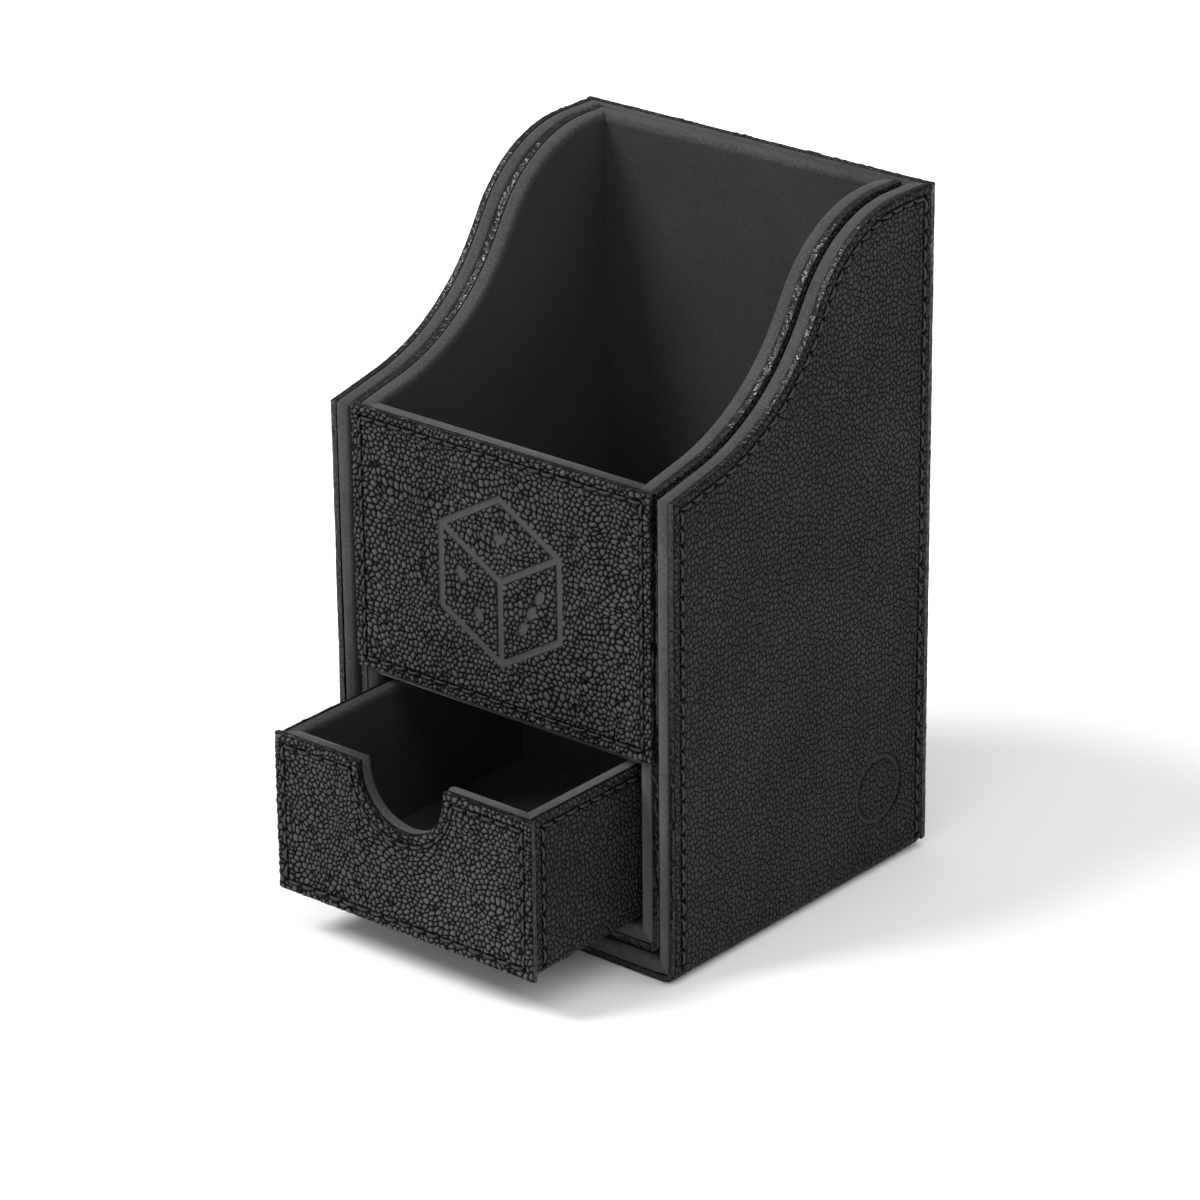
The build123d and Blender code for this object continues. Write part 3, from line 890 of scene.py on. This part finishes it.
def thread_material():
    """Black waxed thread: twisted strands from the loop's own length and turn."""
    look = Look("thread")
    parts = look.add("ShaderNodeSeparateXYZ")
    look.join(look.flat(), parts.inputs[0])
    turn = look.maths("ADD", look.times(parts.outputs[0], 9.0), parts.outputs[1])
    strand = look.maths("ABSOLUTE", look.maths("SINE", turn))
    fuzz = look.noise(1800.0, 3.0)
    # The colour is darker between the strands than on them: painted shade in the grooves of the
    # twist, varied at random by the fuzz.
    look.paint(look.times(strand, look.ramp(fuzz, 0.3, 0.7, 0.5, 1.0)),
               (0.001, 0.001, 0.001), (0.009, 0.009, 0.0095))
    look.emboss(strand, 0.12 * MM, 0.7)
    return look.finish(Roughness=look.ramp(fuzz, 0.3, 0.7, 0.36, 0.56))


def board_material():
    """Black bookbinder's board with pressed fibres."""
    look = Look("board")
    pulp = look.noise(420.0, 6.0, 0.65)
    look.paint(look.ramp(pulp, 0.3, 0.7), (0.014, 0.014, 0.014), (0.032, 0.032, 0.032))
    look.emboss(pulp, 0.2 * MM, 0.4)
    return look.finish(Roughness=0.9)


# One leather in two copies: the side copy's colour is about half as light as the front copy's.
# This is painted shade on the walls, backs and drawer sides that face away from the light.
leather_front_lit = leather_material("leather_front_lit", (0.069, 0.069, 0.070), rough=0.36,
                                 gloss_level=0.06)
leather_side_shaded = leather_material("leather_side_shaded", (0.034, 0.034, 0.035), rough=0.42,
                                gloss_level=0.05, cells=(1.22, 1.342), bump=0.34)
suede = suede_material()
leather_edge = edge_material()
thread = thread_material()
board = board_material()
for node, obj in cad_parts.items():
    if node.endswith("_board"):
        obj.data.materials.clear()
        obj.data.materials.append(board)


# ---- outer shell
outer_x = outer_high[0]
outer_flat = outer_x - OUTER_CORNER
outer_thick = outer_x - outer_board_high[0]


def outer_top(y):
    return rim_height(y, 0.0) - outer_low[2] - OUTER_CORNER


ring_s = outer_flat + OUTER_CORNER * math.pi / 2 + RING_CENTRE[1] - outer_low[2] - OUTER_CORNER


def ring_mask(points):
    away = np.hypot(points[:, 0] - RING_CENTRE[0], points[:, 1] - ring_s)
    return smooth((RING_HALF_WIDTH + RING_SOFT - np.abs(away - RING_RADIUS)) / (2 * RING_SOFT))


ring_y = RING_CENTRE[0] - outer_low[1]
ring_z = RING_CENTRE[1] - outer_low[2] - OUTER_CORNER
reach = RING_RADIUS + 1.0
beside_seam = (0.76, 3.2)
wrap = wrap_columns(
    outer_top, outer_flat, OUTER_CORNER, FRONT_Y, outer_high[1], step=0.62, rise=0.7,
    ys_stops=(*beside_seam, ring_y - reach, ring_y + reach),
    stops=(ring_z - reach, ring_z + reach))
seam_front_y = FRONT_Y + INSET
seam_back_y = BACK_Y - BACK_INSET
rim_seam = rim_line(INSET, seam_front_y, seam_back_y, 1.2)
wall_seams = [rim_seam,
              np.array([[seam_front_y, OUTER_CORNER], [seam_front_y, rim_seam[0, 1]]]),
              np.array([[seam_back_y, OUTER_CORNER], [seam_back_y, rim_seam[-1, 1]]])]
folded_sheet("outer", wrap, outer_x, outer_low[2], OUTER_CORNER, outer_thick, wall_seams, "case",
             pressed=ring_mask, press_shade=1.0, **SIDE_GRAIN)


def rect_frame(low, high, inset):
    """Four seams round a rectangle."""
    ends = rect_outline(low + inset, high - inset)
    return [np.array([s, e]) for s, e in zip(ends, ends[1:])]


def rect_outline(low, high):
    (a, b), (c, d) = low, high
    return np.array([(a, b), (c, b), (c, d), (a, d), (a, b)], float)


def rect_columns(low, high, step):
    xs = low[0] + rows_along(high[0] - low[0], step)
    zs = low[1] + rows_along(high[1] - low[1], step)
    return [np.column_stack([np.full(len(zs), x), zs]) for x in xs]


def front_place(y, side=-1):
    """Flat (x, z) points on a face that looks to the front, or with side 1 to the back."""
    return lambda x, z, h: np.column_stack([x, y + side * h, z])


def back_place(y):
    """Flat (-x, z) points on a face that looks to the back."""
    return lambda x, z, h: np.column_stack([-x, y + h, z])


back_rect = back_low[[0, 2]], back_high[[0, 2]]
cover("back", rect_columns(*back_rect, 0.42), rect_outline(*back_rect),
      rect_frame(*back_rect, INSET), back_place(back_high[1]), back_high[1] - back_low[1],
      leather_side_shaded, "case", "outer_back", **SIDE_GRAIN)


# ---- inner shell
inner_x = inner_high[0]
inner_flat = inner_x - INNER_CORNER
inner_thick = inner_x - inner_board_high[0]
inner_rise = inner_high[2] - HEIGHT


def inner_top(y):
    return rim_height(y, -inner_rise) - inner_low[2] - INNER_CORNER


wrap = wrap_columns(inner_top, inner_flat, INNER_CORNER, inner_low[1], inner_high[1],
                    step=0.5, rise=1.5)
folded_sheet("inner", wrap, inner_x, inner_low[2], INNER_CORNER, inner_thick, [], "case",
             relief=False)


# ---- linings of both shells
def room_fix(half_x, low_z, radius):
    """Pulls points that stand out of a shell's rounded lower corners back onto the curve."""
    def fix(points):
        a = np.abs(points[:, 0]) - (half_x - radius)
        b = (low_z + radius) - points[:, 2]
        far = np.hypot(a, b)
        out = (a > 0) & (b > 0) & (far > radius)
        scale = np.where(out, radius / np.maximum(far, 1e-9), 1.0)
        side = np.sign(points[:, 0])
        x = np.where(out, side * (half_x - radius + a * scale), points[:, 0])
        z = np.where(out, low_z + radius - b * scale, points[:, 2])
        return np.column_stack([x, points[:, 1], z])
    return fix


def side_wall_place(board_x, side):
    return lambda y, z, w: np.column_stack([side * (board_x - w), y, z])


def shell_linings(prefix, board_x, low_z, rise, front_y, back_in, back_out, inside_x, floor_z,
                  corner, back_radii):
    """Suede on the four walls of one shell, with mitred corners."""
    width = board_x - inside_x
    fix = room_fix(board_x, low_z, corner)
    rim = rim_line(-rise, front_y, back_in, 1.0)[::-1]
    path = np.concatenate([rim, [[front_y, floor_z]]])
    closing = np.array([[back_in, floor_z]])
    for side, sign in (("left", -1), ("right", 1)):
        suede_piece(suede_object, f"{prefix}_{side}", "case", f"{prefix}_{side}", path, closing,
                    side_wall_place(board_x, sign), width, mitre=(1, 1), fix=fix)
    top = HEIGHT + rise
    path = np.array([[inside_x, top], [-inside_x, top]])
    closing = np.array([[-inside_x, floor_z], [inside_x, floor_z]])
    suede_piece(suede_object, f"{prefix}_back", "case", f"{prefix}_back", path, closing,
                front_place(back_out), back_out - back_in, *back_radii, mitre=(1, 1))
    path = np.array([[x, front_y] for x in (-inside_x, 0.5 - inside_x, inside_x - 0.5, inside_x)])
    closing = np.array([[inside_x, back_in], [-inside_x, back_in]])
    suede_piece(suede_object, f"{prefix}_base", "case", f"{prefix}_base", path, closing,
                lambda x, y, w: np.column_stack([x, y, low_z + w]), floor_z - low_z,
                mitre=(1, 1), fix=fix)


shell_linings("outer", outer_board_high[0], outer_low[2] + outer_thick, 0.0, FRONT_Y,
              outer_back_low[1], outer_back_high[1], outer_lining_low[0], outer_base_high[2],
              OUTER_CORNER - outer_thick, (1.0, 0.5))
shell_linings("inner", inner_board_high[0], inner_low[2] + inner_thick, inner_rise,
              inner_low[1], inner_back_low[1], inner_back_high[1], inner_lining_low[0],
              inner_base_high[2], INNER_CORNER - inner_thick, (1.0, 1.2))

panel_width = panel_lining_high[1] - panel_lining_low[1]
panel_lap = 0.7
path = np.array([[inner_lining_low[0] + panel_lap, panel_lining_high[2]],
                 [-inner_lining_low[0] - panel_lap, panel_lining_high[2]]])
closing = np.array([[-inner_lining_low[0], panel_lining_low[2]],
                    [inner_lining_low[0], panel_lining_low[2]]])
suede_piece(suede_object, "panel", "case", "front_panel", path, closing,
            front_place(panel_lining_low[1], 1), panel_width, mitre=(0.6, 0.6))

path = np.array([[shelf_low[0], shelf_low[1]], [shelf_high[0], shelf_low[1]]])
closing = np.array([[shelf_high[0], shelf_high[1]], [shelf_low[0], shelf_high[1]]])
suede_piece(suede_object, "shelf_lower", "case", "shelf_bottom", path, closing,
            lambda x, y, w: np.column_stack([x, y, shelf_high[2] - w]),
            shelf_high[2] - shelf_low[2])
suede_piece(slab_object, "shelf_upper", "case", "shelf_top", deck_low, deck_high)


# ---- front panel
panel_rect = panel_low[[0, 2]], panel_high[[0, 2]]
panel_middle = (panel_rect[0] + panel_rect[1]) / 2


def toward(degrees):
    """The direction in the panel's plane at that angle from the right."""
    angle = math.radians(degrees)
    return np.array([math.cos(angle), math.sin(angle)])


def die_lines():
    """Centre lines of the pressed die: a hexagon and three spokes."""
    hexagon = [panel_middle + DIE_RADIUS * toward(30 + 60 * k) for k in range(7)]
    spokes = [np.array([panel_middle, panel_middle + DIE_RADIUS * toward(turn)])
              for turn in (30, 150, 270)]
    return [np.array(hexagon), *spokes]


def die_mask(points):
    """1 on the pressed outline and pips of the die, a row of one, two or three pips a face."""
    mask = segment_mask(points, die_lines(), DIE_HALF_WIDTH, DIE_SOFT)
    for turn, places in ((90, (0,)), (210, (-1, 1)), (330, (-1, 0, 1))):
        out = toward(turn)
        side = np.array([-out[1], out[0]])
        for place in places:
            away = points - panel_middle - FACE_CENTRE * out - PIP_SPACING * place * side
            reach = np.hypot(away @ side / PIP_RADIUS, away @ out / (PIP_RADIUS * PIP_SQUASH))
            mask = np.maximum(mask, smooth((1.12 - reach) / 0.24))
    return mask


cover("panel", rect_columns(*panel_rect, 0.24), rect_outline(*panel_rect),
      rect_frame(*panel_rect, INSET), front_place(panel_low[1]), panel_high[1] - panel_low[1],
      leather_front_lit, "case", "front_panel", pressed=die_mask, press_shade=0.9, **FRONT_GRAIN)


# ---- drawer
drawer_x = drawer_high[0]
drawer_flat = drawer_x - DRAWER_CORNER
drawer_thick = drawer_x - tray_side_high[0]
drawer_top = drawer_high[2]
wrap = wrap_columns(
    lambda y: np.full(len(y), drawer_top - drawer_low[2] - DRAWER_CORNER), drawer_flat,
    DRAWER_CORNER, drawer_low[1], drawer_high[1], step=0.34, rise=0.36)
low_y, high_y = cover_low[1] + DRAWER_INSET, tail_high[1] - DRAWER_INSET
low_z, high_z = drawer_low[2] + DRAWER_CORNER, drawer_top - INSET
wall_seams = [np.array([[low_y, high_z], [high_y, high_z]]),
              np.array([[low_y, low_z], [low_y, high_z]]),
              np.array([[high_y, low_z], [high_y, high_z]])]
folded_sheet("drawer", wrap, drawer_x, drawer_low[2], DRAWER_CORNER, drawer_thick, wall_seams,
             "drawer", edge_radius=0.8, **SIDE_GRAIN)


def notch_line(inset):
    """The drawer's top edge from left to right with the finger notch, moved inwards by inset."""
    radius = NOTCH_RADIUS + inset
    top = cover_high[2] - inset
    edge = cover_high[0] - inset
    rise = top - NOTCH_Z
    half = radius if rise >= 0 else math.sqrt(radius ** 2 - rise ** 2)
    first = 0.0 if rise >= 0 else math.asin(-rise / radius)
    turn = np.linspace(math.pi + first, 2 * math.pi - first, 49)
    arc = np.column_stack([radius * np.cos(turn), NOTCH_Z + radius * np.sin(turn)])
    parts = [np.array([[-edge, top]])]
    if rise > 0:
        parts.append(np.array([[-half, top]]))
    parts.append(arc)
    if rise > 0:
        parts.append(np.array([[half, top]]))
    parts.append(np.array([[edge, top]]))
    return np.concatenate(parts), half, top, arc


def paced(line, step):
    """A polyline's own corners kept, each run divided to that step and closer at both ends."""
    points = [line[0]]
    for k, (a, b) in enumerate(zip(line[:-1], line[1:])):
        length = math.hypot(*(b - a))
        if length < 2 * EDGE_ROWS[-1]:
            rows = np.linspace(0, length, max(1, round(length / step)) + 1)
        else:
            rows = rows_along(length, step, k == 0, k == len(line) - 2)
        points.extend(a + np.outer(rows[1:] / length, b - a))
    return np.array(points)


edge_line = notch_line(0.0)[0]
top_line = paced(edge_line, 0.23)
spread = distances(top_line)
flat_run = cover_high[0] - NOTCH_RADIUS
arc_run = spread[-1] - 2 * flat_run
fan_half = 15.0
bottom_x = np.interp(spread, [0, flat_run, flat_run + arc_run, spread[-1]],
                     [-cover_high[0], -fan_half, fan_half, cover_high[0]])
bottom_x[:5] = top_line[:5, 0]
bottom_x[-5:] = top_line[-5:, 0]
bottom_line = np.column_stack([bottom_x, np.full(len(bottom_x), cover_low[2])])
drawer_outline = np.concatenate([edge_line, [[cover_high[0], cover_low[2]]],
                                 [[cover_low[0], cover_low[2]]], edge_line[:1]])
_, half, seam_top, seam_arc = notch_line(INSET)
edge_x = cover_high[0] - INSET
seam_low = cover_low[2] + INSET
front_seams = [np.array([[-edge_x, seam_top], [-half, seam_top]]), seam_arc,
               np.array([[half, seam_top], [edge_x, seam_top]]),
               np.array([[-edge_x, seam_low], [edge_x, seam_low]]),
               np.array([[-edge_x, seam_low], [-edge_x, seam_top]]),
               np.array([[edge_x, seam_low], [edge_x, seam_top]])]
cover("drawer_front", ruled_columns(bottom_line, top_line, 0.23), drawer_outline, front_seams,
      front_place(cover_low[1]), cover_high[1] - cover_low[1], leather_front_lit, "drawer",
      "drawer_front", **FRONT_GRAIN)

tail_rect = tail_low[[0, 2]], tail_high[[0, 2]]
cover("drawer_back", rect_columns(*tail_rect, 0.5), rect_outline(*tail_rect), [],
      back_place(tail_high[1]), tail_high[1] - tail_low[1], leather_side_shaded, "drawer",
      "drawer_back", rough=0.34, cells=(1.35, 1.45))

tray_x = tray_side_low[0]
tray_width = tray_side_high[0] - tray_x
tray_y0, tray_y1 = tray_front_high[1], tray_back_low[1]
tray_z = tray_floor_low[2]


def tray_suede(side, path, closing, place):
    suede_piece(suede_object, f"drawer_{side}", "drawer", f"drawer_{side}", path, closing, place,
                tray_width, inner_radius=0.8, outer_radius=0.4, mitre=(1, 1))


path = np.array([[tray_y1, drawer_top], [tray_y0, drawer_top]])
closing = np.array([[tray_y0, tray_z], [tray_y1, tray_z]])
for side, sign in (("left", -1), ("right", 1)):
    tray_suede(side, path, closing, side_wall_place(tray_side_high[0], sign))
path = np.array([[tray_x, drawer_top], [-tray_x, drawer_top]])
closing = np.array([[-tray_x, tray_z], [tray_x, tray_z]])
tray_suede("back", path, closing, front_place(tray_back_high[1]))
path = notch_line(0.0)[0][::-1].copy()
path[0, 0], path[-1, 0] = tray_x, -tray_x
tray_suede("front", path, closing, front_place(tray_front_low[1], 1))
suede_piece(slab_object, "drawer_floor", "drawer", "drawer_floor", tray_floor_low,
            tray_floor_high)


# ---- floor, light and camera
FLOOR_HALF = 4.0
BELOW_BASE = 0.00004
CAMERA_AZIMUTH, CAMERA_ELEVATION, CAMERA_ROLL = 40.12, 23.49, -0.6
CAMERA_PLACE = (0.65749, -0.7912, 0.50643)
SENSOR_WIDTH, FOCAL_LENGTH = 36.0, 160.39


def studio_floor():
    half = FLOOR_HALF
    mesh = bpy.data.meshes.new("floor")
    mesh.from_pydata([(-half, -half, 0), (half, -half, 0), (half, half, 0), (-half, half, 0)],
                     [], [(0, 1, 2, 3)])
    floor = bpy.data.objects.new("floor", mesh)
    bpy.context.scene.collection.objects.link(floor)
    floor.location.z = -BELOW_BASE
    look = Look("floor")
    look.paint(look.noise(900.0, 2.0), (0.91, 0.91, 0.91), (0.93, 0.93, 0.93))
    mesh.materials.append(look.finish(Roughness=0.8, Specular_IOR_Level=0.0))


def soft_sun(name, toward, spread, strength):
    """A broad soft light from that direction, spread degrees wide."""
    data = bpy.data.lights.new(name, "SUN")
    data.angle = math.radians(spread)
    data.energy = strength
    light = bpy.data.objects.new(name, data)
    light.rotation_mode = "QUATERNION"
    light.rotation_quaternion = Vector(toward).to_track_quat("Z", "Y")
    bpy.context.scene.collection.objects.link(light)


studio_floor()
soft_sun("front", (0.18, -1.0, 0.26), 50, 0.9)
soft_sun("top", (-0.62, -0.75, 1.15), 24, 3.1)
soft_sun("fill", (0.45, 0.1, 1.0), 70, 1.7)

world = bpy.data.worlds.new("studio")
world.use_nodes = True
world.node_tree.nodes["Background"].inputs["Color"].default_value = (1, 1, 1, 1)
world.node_tree.nodes["Background"].inputs["Strength"].default_value = 0.34
bpy.context.scene.world = world
bpy.context.scene.view_settings.view_transform = "Standard"

azimuth, elevation, roll = (math.radians(a) for a in
                            (CAMERA_AZIMUTH, CAMERA_ELEVATION, CAMERA_ROLL))
back = Vector((math.sin(azimuth) * math.cos(elevation), -math.cos(azimuth) * math.cos(elevation),
               math.sin(elevation)))
right = Vector((math.cos(azimuth), math.sin(azimuth), 0))
up = back.cross(right)
right, up = (math.cos(roll) * right + math.sin(roll) * up,
             math.cos(roll) * up - math.sin(roll) * right)
camera_data = bpy.data.cameras.new("camera")
camera_data.sensor_width = SENSOR_WIDTH
camera_data.lens = FOCAL_LENGTH
camera_data.clip_start, camera_data.clip_end = 0.05, 50
camera = bpy.data.objects.new("camera", camera_data)
bpy.context.scene.collection.objects.link(camera)
turn = Matrix((right, up, back)).transposed().to_4x4()
camera.matrix_world = Matrix.Translation(Vector(CAMERA_PLACE)) @ turn
bpy.context.scene.camera = camera
